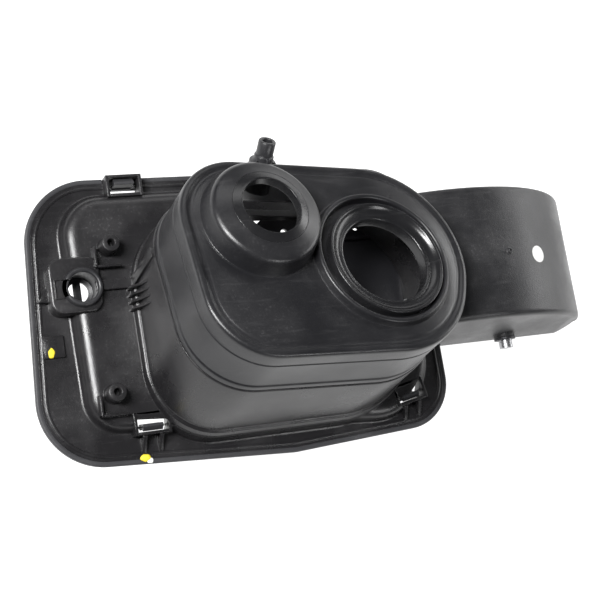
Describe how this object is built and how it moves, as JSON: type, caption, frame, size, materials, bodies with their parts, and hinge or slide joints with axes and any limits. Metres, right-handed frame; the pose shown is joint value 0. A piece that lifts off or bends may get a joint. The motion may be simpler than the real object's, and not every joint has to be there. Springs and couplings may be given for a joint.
{
  "type": "fuel filler housing",
  "caption": "Black moulded fuel filler housing seen from behind: flanged pan, soft boot with two filler necks, arched arm cover, lock socket and a sprung hinge arm.",
  "frame": {"origin": "centre of the whole object's footprint, on the plane of the rim seal's front face", "axes": "+X along the flange's long axis towards the arm cover, +Y across the flange, +Z from the rim towards the filler bowl"},
  "size_m": [0.3777, 0.1798, 0.1103],
  "materials": {
    "moulded_black": "satin moulded, slightly dusty",
    "cover_black": "satin moulded",
    "boot_black": "soft satin",
    "ring_black": "polished",
    "seal_rubber": "matt soft seal",
    "stop_rubber": "matt",
    "fitting_black": "semi-gloss",
    "tongue_black": "satin",
    "pin_steel": "turned",
    "washer_steel": "black oxide",
    "spring_steel": "drawn wire",
    "arm_black": "fine grain",
    "carrier_black": "satin electrocoat",
    "bush_acetal": "natural acetal",
    "sticker_white": "paper label"
  },
  "bodies": {
    "housing": {"pan_housing": "moulded_black", "pan_skirt": "moulded_black", "pan_mounts": "moulded_black", "flange_sheet": "moulded_black", "bowl_collar": "moulded_black", "clip_frames": "moulded_black", "filler_boot": "boot_black", "main_neck_ring": "ring_black", "additive_neck_ring": "ring_black", "arm_cover": "cover_black", "rim_seal": "seal_rubber", "lock_socket": "fitting_black", "lock_gasket": "stop_rubber", "bump_stops": "stop_rubber", "drain_nipple": "fitting_black", "nipple_gasket": "stop_rubber", "hinge_pin": "pin_steel", "pin_washer": "washer_steel", "pin_clip": "washer_steel", "hinge_spring": "spring_steel", "tongue_pins": "pin_steel", "inspection_sticker": "sticker_white"},
    "arm": {"hinge_arm": "arm_black", "hinge_bushes": "bush_acetal", "flap_carrier": "carrier_black", "carrier_rivets": "pin_steel"},
    "upper_tongue": {"tongue_upper": "tongue_black"},
    "lower_tongue": {"tongue_lower": "tongue_black"},
    "corner_tongue": {"tongue_corner": "tongue_black"}
  },
  "joints": [
    {"name": "arm_swing", "type": "hinge", "parent": "housing", "child": "arm", "pos_m": [0.1222, 0.0179, 0.009], "axis": [0, -1, 0], "range_deg": [0, 95], "stiffness_Nm_per_rad": 0.05, "springref_deg": -68.75},
    {"name": "upper_tongue_flex", "type": "hinge", "parent": "housing", "child": "upper_tongue", "pos_m": [-0.1218, 0.084, 0.004], "axis": [1, 0, 0], "range_deg": [0, 12], "stiffness_Nm_per_rad": 0.05},
    {"name": "lower_tongue_flex", "type": "hinge", "parent": "housing", "child": "lower_tongue", "pos_m": [-0.1248, -0.0627, 0.004], "axis": [-1, 0, 0], "range_deg": [0, 12], "stiffness_Nm_per_rad": 0.05},
    {"name": "corner_tongue_flex", "type": "hinge", "parent": "housing", "child": "corner_tongue", "pos_m": [0.04401, -0.06434, 0.004], "axis": [-0.9799, -0.1994, 0], "range_deg": [0, 12], "stiffness_Nm_per_rad": 0.05}
  ]
}
